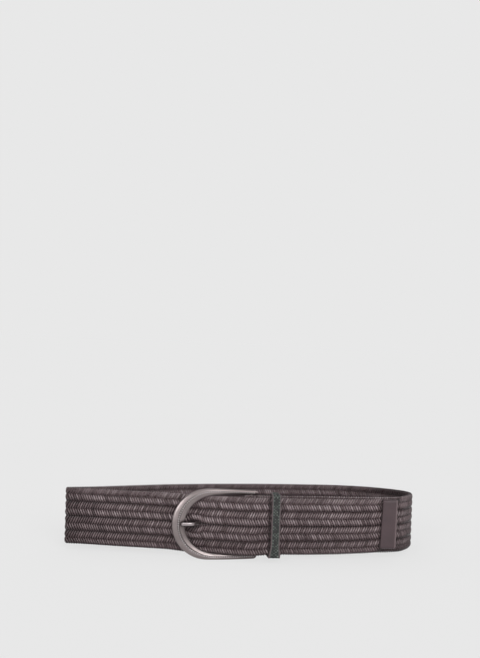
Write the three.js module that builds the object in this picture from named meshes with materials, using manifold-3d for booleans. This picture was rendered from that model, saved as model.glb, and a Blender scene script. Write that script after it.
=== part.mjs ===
// Braided belt, fastened, standing on its lower edges.
// Millimetres. X runs along the front from the left bend to the right end, the front faces -Y, +Z is up.
import * as THREE from 'three';
import Module from 'manifold-3d';

const solids = await Module();
solids.setup();

// Braid
const STRAP_WIDTH = 50;
const STRAP_THICK = 3.6;
const GROOVE_THICK = 2.4;
const RIBS = 8;
const INNER_RIB = 6.55;
const EDGE_ROUND = 0.7;
const MAX_STEP = 15;
const MAX_TURN = 0.16;

// Buckle
const BAR_X = 11;
const BAR_Y = 15.9;
const BUCKLE_Z = 23.3;
const BAR_RADIUS = 1.8;
const FRAME_SLOPE = 0.15;
const FRAME_THICK = 3;
const FRAME_LENGTH = 76.3;
const OUTER_HALF = 31.5;
const INNER_HALF = 26.75;
const OUTER_ARC = 32;
const INNER_ARC = 29.5;
const ARC_WIDTH = 11.2;
const BAR_FROM_TIP = 6;
const FRAME_BEVEL = 0.8;

// Prong
const PRONG_WIDTH = 3.8;
const PRONG_THICK = 2;
const PRONG_Z = 23.6;
const RING_WALL = 1.6;
const GAP = 0.35;

// Keeper
const KEEPER_X = 33.2;
const KEEPER_LENGTH = 9.2;
const KEEPER_WALL = 1.4;
const KEEPER_BOTTOM = -4.6;
const KEEPER_TOP = 52;
const KEEPER_FRONT = 6.4;
const KEEPER_BACK = 18.1;
const KEEPER_SLOPE = 0.15;
const KEEPER_FLARE = 1.8;

// Tip cap
const CAP_LENGTH = 13.2;
const CAP_HEIGHT = 44.8;
const CAP_THICK = 5;
const CAP_WALL = 1;
const CAP_Z = 26;

// Rest pose
const FRONT_RAISED = 4.7;
const RIGHT_RAISED = 0.7;

// Centre line of the braid: x, y, drop below the level of the loop
const FLAP = [
  [44, 22.4, 0.8], [33, 20.9, 0.8], [22, 20.2, 0.8], [11, 19.95, 0.8], [8.2, 18.8, 0.8],
  [7, 15.9, 0.8], [8.2, 13.0, 0.8], [11, 11.85, 0.8], [20, 12.7, 0.7], [32, 14.3, 0.5],
];
const UNDER = [
  [46, 16.5, 0.2], [60, 18.8, 0], [75, 21.2, 0], [92, 23.7, 0], [108, 25.7, 0], [122, 27.5, 0],
  [134, 30.2, 0],
];
const RIGHT_END = [
  [141.5, 33.2, 0], [148, 38, 0], [154.3, 46.6, 0], [160, 57.6, 0], [163.6, 69, 0], [164.2, 79, 0],
  [162, 88.6, 0], [158.2, 95.8, 0], [152.7, 102.4, 0], [145.9, 108.6, 0], [138, 114, 0],
];
const BACK = [
  [124.5, 120.8, 0], [105, 125.4, 0], [84, 125.6, 0], [63, 122.4, 0], [42, 118.4, 0], [21, 113.4, 0],
  [1, 107.4, 0], [-19, 101, 0], [-38, 94, 0], [-64, 82.6, 0], [-87, 69.3, 0], [-108, 55.6, 0],
  [-128, 42.6, 0],
];
const LEFT_BEND = [
  [-141, 35, 0], [-149, 31.4, 0], [-152.6, 29.6, 0], [-154.2, 26.8, 0], [-152.9, 24.1, 0],
  [-149.6, 23.2, 0],
];
const FRONT_LEFT = [
  [-137, 22.4, 0], [-121, 19.6, 0], [-99, 16, 0], [-78, 13.1, 0], [-63, 12.3, 0.3],
  [-48, 13.2, 0.9], [-36, 14.1, 1.4], [-26, 13.9, 1.6], [-15, 11.9, 1.6], [-2, 8.9, 1.6], [11, 7.7, 1.6],
];
const TAIL = [
  [21, 8.4, 1.6], [33, 10, 1.7], [46, 12.1, 1.8], [60, 14.4, 1.8], [75, 16.8, 1.7],
  [92, 19.2, 1.5], [108, 21.1, 1], [120, 22.6, 0.4], [131, 24.4, -0.8], [143, 26.7, -1],
];
const BRAID_LINE = [
  ...FLAP, ...UNDER, ...RIGHT_END, ...BACK, ...LEFT_BEND, ...FRONT_LEFT, ...TAIL,
];

// Size of the braid near its end: distance from the end, width, thickness
const END_SIZES = [
  [0, 41.8, 2.2], [12.4, 41.8, 2.2], [15.6, 47.4, STRAP_THICK], [30, 48.4, STRAP_THICK],
  [75, 50, STRAP_THICK],
];

// Shank of the prong: x, y
const PRONG_LINE = [
  [8.2, 14.6], [0, 14], [-8, 14.4], [-15, 15.2], [-22, 16.7], [-28, 16.9], [-32, 15], [-35.5, 11.2],
  [-38.6, 7.4], [-42, 5], [-45.6, 3.9], [-49.4, 3.4],
];

function linear(table, at, column) {
  if (at <= table[0][0]) return table[0][column];
  for (let i = 1; i < table.length; i += 1) {
    const [before, after] = [table[i - 1], table[i]];
    if (at <= after[0]) {
      const part = (at - before[0]) / (after[0] - before[0]);
      return before[column] + part * (after[column] - before[column]);
    }
  }
  return table[table.length - 1][column];
}

// Points along a line in plan, closer together where it turns, each with its sideways direction
function walk(points, maxStep, maxTurn, marks = []) {
  const curve = new THREE.CatmullRomCurve3(points, false, 'centripetal');
  const fine = 2400;
  curve.arcLengthDivisions = fine;
  const length = curve.getLength();
  const stops = [];
  let last = null;
  let turned = 0;
  let previous = curve.getTangentAt(0);
  for (let i = 0; i <= fine; i += 1) {
    const along = (i / fine) * length;
    const tangent = curve.getTangentAt(i / fine);
    turned += tangent.angleTo(previous);
    previous = tangent;
    const marked = marks.some((mark) => Math.abs(length - along - mark) <= length / fine / 2);
    const due = last === null || marked || along - last >= maxStep || turned >= maxTurn;
    if (due || i === fine) {
      const side = new THREE.Vector3(tangent.y, -tangent.x, 0).normalize();
      stops.push({ at: curve.getPointAt(i / fine), side, along, left: length - along });
      last = along;
      turned = 0;
    }
  }
  return stops;
}

// Closed body from rings of equal point count, with flat ends
function skin(rings, outline) {
  const count = outline.length;
  const position = rings.flat().flatMap((p) => [p.x, p.y, p.z]);
  const index = [];
  for (let i = 0; i + 1 < rings.length; i += 1) {
    for (let j = 0; j < count; j += 1) {
      const next = (j + 1) % count;
      const [a, b, c, d] = [i * count + j, i * count + next, (i + 1) * count + next, (i + 1) * count + j];
      index.push(a, b, c, a, c, d);
    }
  }
  const lastRing = (rings.length - 1) * count;
  for (const [a, b, c] of THREE.ShapeUtils.triangulateShape(outline, [])) {
    index.push(a, c, b);
    index.push(lastRing + a, lastRing + b, lastRing + c);
  }
  return { position, index };
}

function toSolid({ position, index }) {
  const mesh = new solids.Mesh({
    numProp: 3,
    vertProperties: Float32Array.from(position),
    triVerts: Uint32Array.from(index),
  });
  mesh.merge();
  const body = new solids.Manifold(mesh);
  if (body.volume() > 0) return body;
  const turned = [];
  for (let i = 0; i < index.length; i += 3) {
    turned.push(index[i], index[i + 2], index[i + 1]);
  }
  return toSolid({ position, index: turned });
}

function fromGeometry(geometry) {
  const position = Array.from(geometry.attributes.position.array);
  const index = geometry.index ? Array.from(geometry.index.array) : position.map((v, i) => i);
  return toSolid({ position, index: index.slice(0, geometry.index ? index.length : position.length / 3) });
}

function toGeometry(solid) {
  const mesh = solid.getMesh();
  const geometry = new THREE.BufferGeometry();
  const corners = new Float32Array(mesh.triVerts.length * 3);
  mesh.triVerts.forEach((vertex, i) => {
    for (let k = 0; k < 3; k += 1) {
      corners[i * 3 + k] = mesh.vertProperties[vertex * mesh.numProp + k];
    }
  });
  geometry.setAttribute('position', new THREE.BufferAttribute(corners, 3));
  geometry.computeVertexNormals();
  return geometry;
}

// Half of the ribbed outline, from the lower edge to the upper edge: height, half thickness
function ribProfile() {
  const edgeRib = (STRAP_WIDTH - (RIBS - 2) * INNER_RIB) / 2;
  const crest = STRAP_THICK / 2;
  const groove = GROOVE_THICK / 2;
  const profile = [[-STRAP_WIDTH / 2, crest - EDGE_ROUND]];
  let foot = -STRAP_WIDTH / 2;
  for (let rib = 0; rib < RIBS; rib += 1) {
    const width = rib === 0 || rib === RIBS - 1 ? edgeRib : INNER_RIB;
    profile.push([foot + 0.3 * width, crest], [foot + 0.7 * width, crest]);
    foot += width;
    if (rib < RIBS - 1) profile.push([foot, groove]);
  }
  profile.push([STRAP_WIDTH / 2, crest - EDGE_ROUND]);
  return profile;
}

function braidOutline() {
  const half = ribProfile();
  const front = half.map(([z, n]) => new THREE.Vector2(n, z));
  const back = half.map(([z, n]) => new THREE.Vector2(-n, z)).reverse();
  return [...front, ...back];
}

function sweep(stops, outline, place) {
  return toSolid(skin(stops.map((stop) => outline.map((point) => place(stop, point))), outline));
}

function braidPoint(stop, point) {
  const width = linear(END_SIZES, stop.left, 1) / STRAP_WIDTH;
  const thick = linear(END_SIZES, stop.left, 2) / STRAP_THICK;
  return stop.at.clone()
    .addScaledVector(stop.side, point.x * thick)
    .add(new THREE.Vector3(0, 0, point.y * width));
}

function plainPoint(stop, point) {
  return stop.at.clone().addScaledVector(stop.side, point.x).add(new THREE.Vector3(0, 0, point.y));
}

function roundedRectangle(width, height, corner) {
  const [x, y] = [width / 2, height / 2];
  return [
    [x, -y + corner], [x, y - corner], [x - corner, y], [-x + corner, y],
    [-x, y - corner], [-x, -y + corner], [-x + corner, -y], [x - corner, -y],
  ].map(([a, b]) => new THREE.Vector2(a, b));
}

const braidStops = walk(
  BRAID_LINE.map(([x, y, drop]) => new THREE.Vector3(x, y, STRAP_WIDTH / 2 - drop)),
  MAX_STEP,
  MAX_TURN,
  END_SIZES.map((row) => row[0]),
);
const prongPoints = PRONG_LINE.map(([x, y]) => new THREE.Vector3(x, y, PRONG_Z));

function prongShank(thick, width, round) {
  return sweep(walk(prongPoints, 6, 0.18), roundedRectangle(thick, width, round), plainPoint);
}

function block(x0, x1, y0, y1, z0, z1) {
  const geometry = new THREE.BoxGeometry(x1 - x0, y1 - y0, z1 - z0);
  geometry.translate((x0 + x1) / 2, (y0 + y1) / 2, (z0 + z1) / 2);
  return fromGeometry(geometry);
}

function makeStrap() {
  const clear = 2 * GAP;
  const hole = prongShank(PRONG_THICK + clear, PRONG_WIDTH + clear, 0.5);
  const slotHalf = PRONG_WIDTH / 2 + 2 * GAP;
  const slot = block(BAR_X - 6.2, BAR_X + 7, 10.05, 24, PRONG_Z - slotHalf, PRONG_Z + slotHalf);
  return sweep(braidStops, braidOutline(), braidPoint).subtract(hole).subtract(slot);
}

// Horseshoe seen from the front, leftmost point at zero
function horseshoeShape() {
  const shape = new THREE.Shape();
  const tip = (OUTER_HALF - INNER_HALF) / 2;
  const armEnd = FRAME_LENGTH - tip;
  shape.moveTo(armEnd, -OUTER_HALF);
  shape.lineTo(OUTER_ARC, -OUTER_HALF);
  shape.absellipse(OUTER_ARC, 0, OUTER_ARC, OUTER_HALF, -Math.PI / 2, Math.PI / 2, true);
  shape.lineTo(armEnd, OUTER_HALF);
  shape.absarc(armEnd, (OUTER_HALF + INNER_HALF) / 2, tip, Math.PI / 2, -Math.PI / 2, true);
  shape.lineTo(ARC_WIDTH + INNER_ARC, INNER_HALF);
  shape.absellipse(ARC_WIDTH + INNER_ARC, 0, INNER_ARC, INNER_HALF, Math.PI / 2, -Math.PI / 2, false);
  shape.lineTo(armEnd, -INNER_HALF);
  shape.absarc(armEnd, -(OUTER_HALF + INNER_HALF) / 2, tip, Math.PI / 2, -Math.PI / 2, true);
  return shape;
}

function makeBuckleFrame() {
  const plate = new THREE.ExtrudeGeometry(horseshoeShape(), {
    depth: FRAME_THICK - 2 * FRAME_BEVEL,
    bevelEnabled: true,
    bevelThickness: FRAME_BEVEL,
    bevelSize: FRAME_BEVEL,
    bevelOffset: -FRAME_BEVEL,
    bevelSegments: 1,
    curveSegments: 16,
  });
  plate.translate(BAR_FROM_TIP - FRAME_LENGTH, 0, FRAME_BEVEL - FRAME_THICK / 2);
  plate.rotateX(Math.PI / 2);
  plate.rotateZ(Math.atan(FRAME_SLOPE));
  plate.translate(BAR_X, BAR_Y, BUCKLE_Z);
  const bar = new THREE.CylinderGeometry(BAR_RADIUS, BAR_RADIUS, OUTER_HALF + INNER_HALF, 20);
  bar.rotateX(Math.PI / 2);
  bar.translate(BAR_X, BAR_Y, BUCKLE_Z);
  return fromGeometry(plate).add(fromGeometry(bar));
}

function makeProng() {
  const inner = BAR_RADIUS + GAP;
  const ring = new THREE.Shape();
  ring.absarc(0, 0, inner + RING_WALL, 0, 2 * Math.PI, false);
  const opening = new THREE.Path();
  opening.absarc(0, 0, inner, 0, 2 * Math.PI, true);
  ring.holes.push(opening);
  const eye = new THREE.ExtrudeGeometry(ring, { depth: PRONG_WIDTH, bevelEnabled: false, curveSegments: 12 });
  eye.translate(BAR_X, BAR_Y, PRONG_Z - PRONG_WIDTH / 2);
  return fromGeometry(eye).add(prongShank(PRONG_THICK, PRONG_WIDTH, 0.6));
}

function makeKeeper() {
  const height = KEEPER_TOP - KEEPER_BOTTOM;
  const depth = KEEPER_BACK - KEEPER_FRONT;
  const loop = new THREE.Shape(roundedRectangle(depth, height, 1.6));
  const inside = roundedRectangle(depth - 2 * KEEPER_WALL, height - 2 * KEEPER_WALL, 0.8);
  loop.holes.push(new THREE.Path(inside.reverse()));
  const band = new THREE.ExtrudeGeometry(loop, { depth: KEEPER_LENGTH, bevelEnabled: false });
  band.translate(0, 0, -KEEPER_LENGTH / 2);
  band.rotateY(Math.PI / 2);
  band.rotateX(Math.PI / 2);
  flareBottom(band);
  band.rotateZ(Math.atan(KEEPER_SLOPE));
  band.translate(KEEPER_X, (KEEPER_FRONT + KEEPER_BACK) / 2, (KEEPER_TOP + KEEPER_BOTTOM) / 2);
  return fromGeometry(band);
}

// The lower fold of the keeper is a little longer toward the buckle
function flareBottom(geometry) {
  const points = geometry.attributes.position;
  for (let i = 0; i < points.count; i += 1) {
    if (points.getX(i) < 0 && points.getZ(i) < 0) {
      points.setX(i, points.getX(i) - KEEPER_FLARE);
    }
  }
}

function makeTipCap() {
  const stops = braidStops.filter((stop) => stop.left < CAP_LENGTH + 6);
  const line = new THREE.CatmullRomCurve3(stops.map((stop) => stop.at), false, 'centripetal');
  const end = stops[stops.length - 1].at;
  const tangent = line.getTangentAt(1).setZ(0).normalize();
  const start = end.clone().addScaledVector(tangent, CAP_WALL + GAP - CAP_LENGTH);
  const finish = end.clone().addScaledVector(tangent, CAP_WALL + GAP);
  const floor = end.clone().addScaledVector(tangent, GAP);
  const mouth = start.clone().addScaledVector(tangent, -1);
  [start, finish, floor, mouth].forEach((point) => point.setZ(CAP_Z));
  const body = sweep(walk([start, finish], 40, 1), roundedRectangle(CAP_THICK, CAP_HEIGHT, 0.8), plainPoint);
  const cavity = roundedRectangle(CAP_THICK - 2 * CAP_WALL, CAP_HEIGHT - 2 * CAP_WALL, 0.2);
  return body.subtract(sweep(walk([mouth, floor], 40, 1), cavity, plainPoint));
}

const PIECES = [
  { name: 'strap', make: makeStrap, color: 0x584c4c, roughness: 0.55, metalness: 0 },
  { name: 'buckle_frame', make: makeBuckleFrame, color: 0x91878a, roughness: 0.35, metalness: 0.9 },
  { name: 'prong', make: makeProng, color: 0xa69c9b, roughness: 0.3, metalness: 0.9 },
  { name: 'keeper', make: makeKeeper, color: 0x414b46, roughness: 0.7, metalness: 0 },
  { name: 'tip_cap', make: makeTipCap, color: 0x5a4448, roughness: 0.5, metalness: 0 },
];

const level = new THREE.Group();
level.name = 'level_loop';
for (const piece of PIECES) {
  const material = new THREE.MeshStandardMaterial({
    color: piece.color,
    roughness: piece.roughness,
    metalness: piece.metalness,
  });
  const mesh = new THREE.Mesh(toGeometry(piece.make()), material);
  mesh.name = piece.name;
  level.add(mesh);
}

const belt = new THREE.Group();
belt.name = 'braided_belt';
level.rotation.set(
  THREE.MathUtils.degToRad(-FRONT_RAISED),
  THREE.MathUtils.degToRad(-RIGHT_RAISED),
  0,
);
belt.add(level);
belt.updateMatrixWorld(true);
const box = new THREE.Box3().setFromObject(belt, true);
level.position.set(-(box.min.x + box.max.x) / 2, -(box.min.y + box.max.y) / 2, -box.min.z);
belt.updateMatrixWorld(true);

export default belt;
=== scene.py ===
import math

import bmesh
import bpy
import numpy as np
from mathutils import Matrix, Vector


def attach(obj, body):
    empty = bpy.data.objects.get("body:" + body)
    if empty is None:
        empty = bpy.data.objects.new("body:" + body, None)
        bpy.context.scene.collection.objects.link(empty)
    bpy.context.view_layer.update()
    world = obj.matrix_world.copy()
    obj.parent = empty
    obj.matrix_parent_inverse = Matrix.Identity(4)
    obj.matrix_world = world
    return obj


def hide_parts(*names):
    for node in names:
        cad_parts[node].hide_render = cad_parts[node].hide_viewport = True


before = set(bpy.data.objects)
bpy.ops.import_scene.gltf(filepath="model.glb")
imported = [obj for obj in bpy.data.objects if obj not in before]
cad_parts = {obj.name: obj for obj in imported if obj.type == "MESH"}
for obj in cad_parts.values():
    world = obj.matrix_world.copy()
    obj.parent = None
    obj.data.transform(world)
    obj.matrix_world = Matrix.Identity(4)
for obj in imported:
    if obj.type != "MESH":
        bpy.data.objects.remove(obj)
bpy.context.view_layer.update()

# Sizes in millimetres, near the part's and fitted to the photograph: strap, and how the loop stands
STRAP_WIDTH = 50.0
STRAP_THICK = 3.6
RIBS = 8
INNER_RIB = 6.55
FRONT_RAISED = 4.7
RIGHT_RAISED = 0.7
LEVEL_OFFSET = (-4.706, -67.787, 9.399)

# Centre line of the braid: x, y, drop below the level of the loop
BRAID_LINE = [
    (44, 22.4, 0.8), (33, 20.9, 0.8), (22, 20.2, 0.8), (11, 19.95, 0.8), (8.2, 18.8, 0.8),
    (7, 15.9, 0.8), (8.2, 13.0, 0.8), (11, 11.85, 0.8), (20, 12.7, 0.7), (32, 14.3, 0.5),
    (46, 16.5, 0.2), (60, 18.8, 0), (75, 21.2, 0), (92, 23.7, 0), (108, 25.7, 0), (122, 27.5, 0),
    (134, 30.2, 0),
    (141.5, 33.2, 0), (148, 38, 0), (154.3, 46.6, 0), (160, 57.6, 0), (163.6, 69, 0), (164.2, 79, 0),
    (162, 88.6, 0), (158.2, 95.8, 0), (152.7, 102.4, 0), (145.9, 108.6, 0), (138, 114, 0),
    (124.5, 120.8, 0), (105, 125.4, 0), (84, 125.6, 0), (63, 122.4, 0), (42, 118.4, 0),
    (21, 113.4, 0), (1, 107.4, 0), (-19, 101, 0), (-38, 94, 0), (-64, 82.6, 0), (-87, 69.3, 0),
    (-108, 55.6, 0), (-128, 42.6, 0),
    (-141, 35, 0), (-149, 31.4, 0), (-152.6, 29.6, 0), (-154.2, 26.8, 0), (-152.9, 24.1, 0),
    (-149.6, 23.2, 0),
    (-137, 22.4, 0), (-121, 19.6, 0), (-99, 16, 0), (-78, 13.1, 0), (-63, 12.3, 0.3),
    (-48, 13.2, 0.9), (-36, 14.1, 1.4), (-26, 13.9, 1.6), (-15, 11.9, 1.6), (-2, 8.9, 1.6),
    (11, 7.7, 1.6),
    (21, 8.4, 1.6), (33, 10, 1.7), (46, 12.1, 1.8), (60, 14.4, 1.8), (75, 16.8, 1.7),
    (92, 19.2, 1.5), (108, 21.1, 1), (120, 22.6, 0.4), (131, 24.4, -0.8), (143, 26.7, -1),
]

# Width and thickness of the braid by distance from the tail's end, where the cap squeezes it
END_DISTANCE = [0, 12.4, 15.6, 30, 75]
END_WIDTH = [41.8, 41.8, 47.4, 48.4, 50]
END_THICK = [2.2, 2.2, 3.6, 3.6, 3.6]

# Buckle: bar in plan, middle height, slope in plan, and its outer and inner outline
BAR = (11.0, 15.9)
BUCKLE_Z = 23.3
FRAME_SLOPE = 0.15
FRAME_LENGTH = 75.5
OUTER_HALF = 31.5
INNER_HALF = 26.1
OUTER_ARC = 32.0
INNER_ARC = 29.5
ARC_WIDTH = 11.2
BAR_FROM_TIP = 6.0
ARM_TAPER = 0.04

# Prong: middle line in plan, from the eye through the braid to the tip
PRONG_LINE = [
    (8.2, 14.6), (0, 14), (-8, 14.4), (-15, 15.2), (-22, 16.7), (-28, 17.0), (-33.2, 16.0),
    (-36.2, 13.0), (-37.4, 9.6), (-38.5, 6.6), (-40.8, 4.8), (-44.5, 4.0), (-49.4, 3.4),
]
PRONG_Z = 23.6
PRONG_TIP = PRONG_LINE[-1][0] - BAR[0] - BAR_FROM_TIP + FRAME_LENGTH

# Keeper: middle in plan, and its four sides round the tail and the under strap
KEEPER_X = 32.5
KEEPER_LENGTH = 8.2
KEEPER_BOTTOM = -4.6
KEEPER_TOP = 50.7
KEEPER_FRONT = 6.4
KEEPER_BACK = 18.1
KEEPER_SLOPE = 0.15
KEEPER_RISE = 2.4

# Tip cap: flat size, place from the tail's end and lean along the strap
CAP_LENGTH = 13.6
CAP_HEIGHT = 43.8
CAP_SHIFT = 2.0
CAP_THICK = 5.0
CAP_Z = 26.4
CAP_LEAN = 1.8

# Photograph's camera in the level loop's frame. AIM_PX is the pixel where the point above the
# loop's origin at AIM_HEIGHT is seen
PHOTO_WIDTH, PHOTO_HEIGHT = 480, 658
FOCAL_PX = 800.0
CAMERA_DISTANCE = 694.2
AXIS_DOWN = 1.36
ROLL = 1.9
AXIS_ROW = 421.0
AIM_PX = (238, 525)
AIM_HEIGHT = 25.0
SENSOR = 36

# Brightness of the pale room and of the floor, which glows so that shadows on it stay faint
ROOM_LOW = 0.807
ROOM_MIDDLE = 0.3
ROOM_ABOVE = 0.9
FLOOR_GREYS = (0.139, 0.141)
FLOOR_GLOW = 0.673

rng = np.random.default_rng(7)
level = (
    Matrix.Translation(Vector(LEVEL_OFFSET) * 0.001)
    @ Matrix.Rotation(math.radians(-FRONT_RAISED), 4, "X")
    @ Matrix.Rotation(math.radians(-RIGHT_RAISED), 4, "Y")
)
LEVEL_ROT = np.array(level.to_3x3())
LEVEL_POS = np.array(level.translation)


def to_row(points):
    """Level frame in millimetres to the row frame in metres."""
    return (np.asarray(points, float) * 0.001) @ LEVEL_ROT.T + LEVEL_POS


# Lines
def catmull(points, per_span):
    """Centripetal Catmull-Rom line through the points, sampled densely."""
    p = np.asarray(points, float)
    p = np.vstack([2 * p[0] - p[1], p, 2 * p[-1] - p[-2]])
    out = []
    for i in range(1, len(p) - 2):
        p0, p1, p2, p3 = p[i - 1:i + 3]
        d0, d1, d2 = (max(np.linalg.norm(b - a), 1e-6) ** 0.5 for a, b in ((p0, p1), (p1, p2), (p2, p3)))
        m1 = ((p1 - p0) / d0 - (p2 - p0) / (d0 + d1) + (p2 - p1) / d1) * d1
        m2 = ((p2 - p1) / d1 - (p3 - p1) / (d1 + d2) + (p3 - p2) / d2) * d1
        t = np.linspace(0, 1, per_span, endpoint=i == len(p) - 3)[:, None]
        out.append(
            (2 * t**3 - 3 * t**2 + 1) * p1 + (t**3 - 2 * t**2 + t) * m1
            + (3 * t**2 - 2 * t**3) * p2 + (t**3 - t**2) * m2
        )
    return np.vstack(out)


def distances(points):
    """Distance of each point along the line through all of them."""
    step = np.linalg.norm(np.diff(points, axis=0), axis=1)
    return np.concatenate([[0], np.cumsum(step)])


def read_at(t, s, values):
    """Rows of values read at the distances t, where s holds the distance of each row."""
    return np.stack([np.interp(t, s, column) for column in values.T], -1)


class Line:
    """A dense line that gives a point and its sideways direction at any distance along it."""

    def __init__(self, points, per_span=48):
        self.points = catmull(points, per_span)
        self.s = distances(self.points)
        self.length = self.s[-1]
        self.tangents = np.gradient(self.points, self.s, axis=0)
        self.tangents /= np.linalg.norm(self.tangents, axis=1)[:, None]

    def at(self, s):
        tangent = read_at(s, self.s, self.tangents)
        flat = np.hypot(tangent[..., 0], tangent[..., 1])
        side = np.stack([tangent[..., 1] / flat, -tangent[..., 0] / flat, 0 * flat], -1)
        return read_at(s, self.s, self.points), side


belt_line = Line([(x, y, STRAP_WIDTH / 2 - drop) for x, y, drop in BRAID_LINE])
LENGTH = belt_line.length
TAIL_START = LENGTH * 0.6


def nearest(x, y, start=0.0):
    """Distance along the braid of its point closest to x, y, after the distance start."""
    away = np.hypot(belt_line.points[:, 0] - x, belt_line.points[:, 1] - y)
    away[belt_line.s < start] = np.inf
    return belt_line.s[int(np.argmin(away))]


# Places along the braid: hole for the prong on each face, fold, keeper's left side, two bends
OUTER_HOLE = nearest(-38.0, 13.9, TAIL_START)
INNER_HOLE = nearest(-31.5, 14.1, TAIL_START)
FOLD = nearest(7.0, 15.9)
KEEPER_SIDE = nearest(KEEPER_X - KEEPER_LENGTH / 2 - 0.6, 8.4, TAIL_START)
LEFT_TURN = nearest(-154.2, 26.8)
RIGHT_TURN = nearest(164.2, 79.0)

# Inside the buckle's window the tail sits lower and is a little taller
WINDOW = [nearest(x, y, TAIL_START) for x, y in ((-62.0, 12.4), (-38.0, 13.9), (14.0, 7.8), (30.0, 9.5))]
WINDOW_DROP = 0.9
WINDOW_TALLER = 0.035
FOLD_TALLER = 0.028
FOLD_REACH = 9

# The strands make room for the prong, at its hole and at the fold
PARTED_BY = 2.9
PARTED_HEIGHT = 12.0
HOLE_REACH = 6.0
EYE_REACH = 13.0


def fade(away, reach, power=4):
    """One in the middle, falling to nothing past the reach."""
    return np.exp(-((away / reach) ** power))


def parted(s, z, face):
    """Height of a braid point after the strands make room for the prong."""
    hole = np.where(face > 0, OUTER_HOLE, INNER_HOLE)
    open_by = PARTED_BY * (fade(s - hole, HOLE_REACH) + fade(s - FOLD, EYE_REACH, 6))
    middle = z - STRAP_WIDTH / 2
    return z + np.sign(middle) * open_by * np.clip(1 - np.abs(middle) / PARTED_HEIGHT, 0, 1)


def braid_place(s, z, n, face):
    """Points in the level frame from distance, height and depth on the braid."""
    left = LENGTH - s
    squeezed = np.interp(s, WINDOW, (0, 1, 1, 0))
    width = np.interp(left, END_DISTANCE, END_WIDTH) / STRAP_WIDTH
    thick = np.interp(left, END_DISTANCE, END_THICK) / STRAP_THICK
    z = parted(s, z, face)
    point, side = belt_line.at(s)
    out = point + side * (n * thick)[..., None]
    width += WINDOW_TALLER * squeezed + FOLD_TALLER * fade(s - FOLD, FOLD_REACH)
    out[..., 2] += (z - STRAP_WIDTH / 2) * width - WINDOW_DROP * squeezed
    return out


# Meshes
def new_mesh(name, verts, faces, smooth=True):
    mesh = bpy.data.meshes.new(name)
    mesh.from_pydata([tuple(v) for v in verts], [], [tuple(f) for f in faces])
    mesh.validate()
    mesh.update()
    if smooth:
        mesh.shade_smooth()
    obj = bpy.data.objects.new(name, mesh)
    bpy.context.scene.collection.objects.link(obj)
    return obj


def fast_mesh(name, verts, quads, tone):
    """Large mesh of four-sided faces, with the tone of each point."""
    mesh = bpy.data.meshes.new(name)
    mesh.vertices.add(len(verts))
    mesh.vertices.foreach_set("co", np.ascontiguousarray(verts, dtype=np.float32).ravel())
    mesh.loops.add(quads.size)
    mesh.loops.foreach_set("vertex_index", quads.astype(np.int32).ravel())
    mesh.polygons.add(len(quads))
    mesh.polygons.foreach_set("loop_start", np.arange(0, quads.size, 4, dtype=np.int32))
    mesh.update(calc_edges=True)
    mesh.validate()
    mesh.shade_smooth()
    obj = bpy.data.objects.new(name, mesh)
    add_tone(obj, tone)
    bpy.context.scene.collection.objects.link(obj)
    return obj


def add_tone(obj, values):
    layer = obj.data.attributes.new("tone", "FLOAT", "POINT")
    layer.data.foreach_set("value", np.asarray(values, dtype=np.float32))


def ring_faces(rings, count, closed=False, base=0):
    """Faces between rings of count points each. The first point has the number base."""
    faces = []
    for i in range(rings if closed else rings - 1):
        a, b = base + i * count, base + (i + 1) % rings * count
        for j in range(count):
            k = (j + 1) % count
            faces.append((a + j, a + k, b + k, b + j))
    return faces


def tube_faces(rings, count, base=0):
    """Faces between the rings, and one face over each end."""
    last = base + (rings - 1) * count
    ends = [tuple(first + j for j in range(count)) for first in (base, last)]
    return ring_faces(rings, count, base=base) + ends


def outward(obj):
    """Turns a closed mesh's faces outward."""
    bm = bmesh.new()
    bm.from_mesh(obj.data)
    bmesh.ops.recalc_face_normals(bm, faces=bm.faces)
    bm.to_mesh(obj.data)
    bm.free()


def finish_piece(obj, mat, slot, *nodes):
    obj.data.materials.append(mat)
    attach(obj, "root")
    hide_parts(*nodes)


# Materials
def material(name):
    mat = bpy.data.materials.new(name)
    mat.use_nodes = True
    nodes = mat.node_tree.nodes
    return mat, nodes, mat.node_tree.links, nodes["Principled BSDF"]


def srgb(r, g, b):
    def lin(v):
        v /= 255
        return v / 12.92 if v <= 0.04045 else ((v + 0.055) / 1.055) ** 2.4
    return (lin(r), lin(g), lin(b), 1)


def grey(value):
    return (value, value, value, 1)


def noise(nodes, links, scale, detail, coords):
    node = nodes.new("ShaderNodeTexNoise")
    node.inputs["Scale"].default_value = scale
    node.inputs["Detail"].default_value = detail
    links.new(coords, node.inputs["Vector"])
    return node.outputs["Fac"]


def object_coordinates(nodes):
    """The object's own coordinates, in metres."""
    return nodes.new("ShaderNodeTexCoord").outputs["Object"]


def ramp(nodes, links, value, stops):
    node = nodes.new("ShaderNodeValToRGB")
    elements = node.color_ramp.elements
    while len(elements) < len(stops):
        elements.new(0.5)
    for element, (place, colour) in zip(elements, stops):
        element.position = place
        element.color = colour
    links.new(value, node.inputs["Fac"])
    return node.outputs["Color"]


def bump(nodes, links, shader, height, strength, distance):
    node = nodes.new("ShaderNodeBump")
    node.inputs["Strength"].default_value = strength
    node.inputs["Distance"].default_value = distance
    links.new(height, node.inputs["Height"])
    links.new(node.outputs["Normal"], shader.inputs["Normal"])


# Places of the colour sockets on a mix node
MIX_A, MIX_B, MIX_RESULT = 6, 7, 2


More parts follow.
